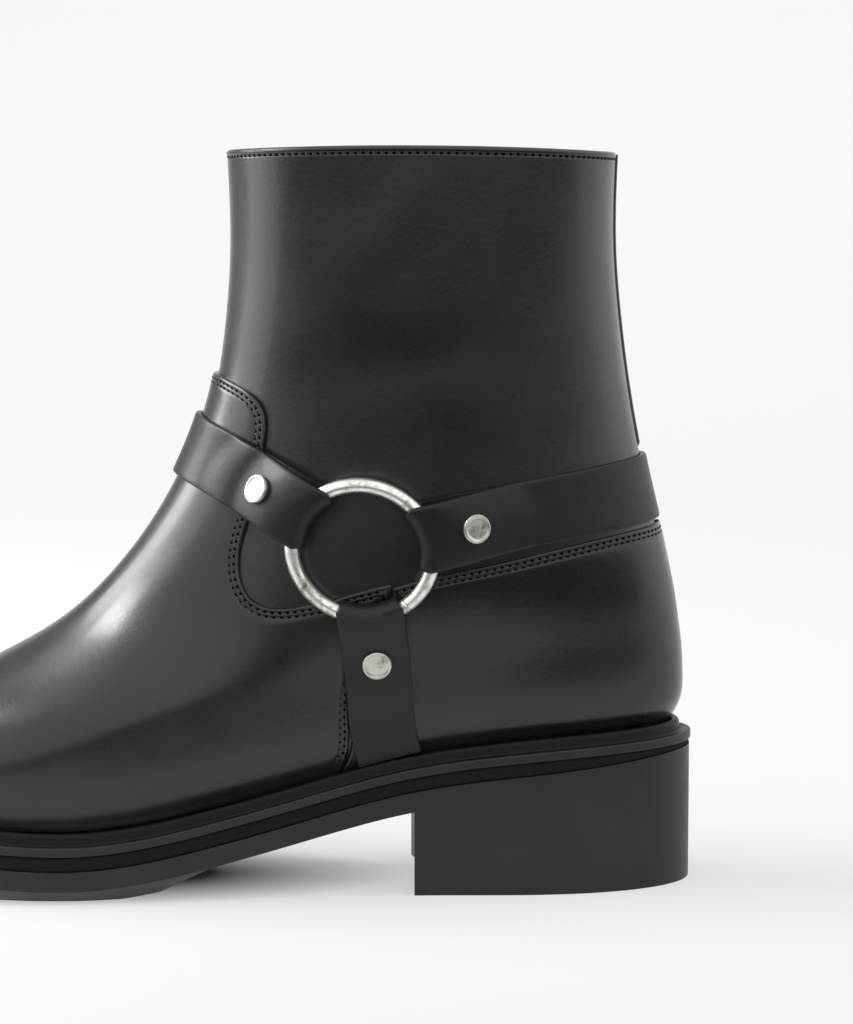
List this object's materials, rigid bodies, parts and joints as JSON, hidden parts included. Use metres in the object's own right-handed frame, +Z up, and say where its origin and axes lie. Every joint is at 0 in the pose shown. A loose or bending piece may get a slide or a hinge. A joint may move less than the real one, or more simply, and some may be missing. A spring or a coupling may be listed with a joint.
{
  "type": "zip_up_harness_boot",
  "caption": "Black leather mid-height boot with a strapped metal ring on the outer side, a block heel, a beaded welt and a zip on the inner side",
  "frame": {"origin": "middle of the boot's box, on the floor", "axes": "+X to the heel, -X to the toe, +Y to the inner side, +Z up"},
  "size_m": [0.285, 0.1036, 0.2405],
  "materials": {
    "upper_leather": "smooth polished leather with a coat of gloss",
    "strap_leather": "smooth leather, a little less glossy, dark cut edges",
    "lining": "plain matt lining leather",
    "outsole": "smooth black edge-dressed rubber",
    "milled_edge": "rough milled black edge",
    "nickel": "antique nickel, darker in its hollows",
    "zip_tape": "woven black tape",
    "zip_metal": "dull nickel"
  },
  "bodies": {
    "boot": {"outsole_and_heel": "outsole", "midsole": "milled_edge", "welt": "outsole", "insole": "lining", "upper": "upper_leather", "vamp": "upper_leather", "counter": "upper_leather", "back_seam": "upper_leather", "harness_ring": "nickel", "strap_front": "strap_leather", "rivet_front": "nickel", "strap_back": "strap_leather", "rivet_back": "nickel", "strap_lower": "strap_leather", "rivet_lower": "nickel", "zip_tape": "zip_tape", "zip_chain": "zip_metal", "zip_slider": "zip_metal"},
    "pull_tab": {"zip_pull_tab": "zip_metal"}
  },
  "joints": [
    {"name": "pull_tab_hinge", "type": "hinge", "parent": "boot", "child": "pull_tab", "pos_m": [0.0575, 0.04301, 0.22719], "axis": [1, 0, 0], "range_deg": [-8, 165]}
  ]
}
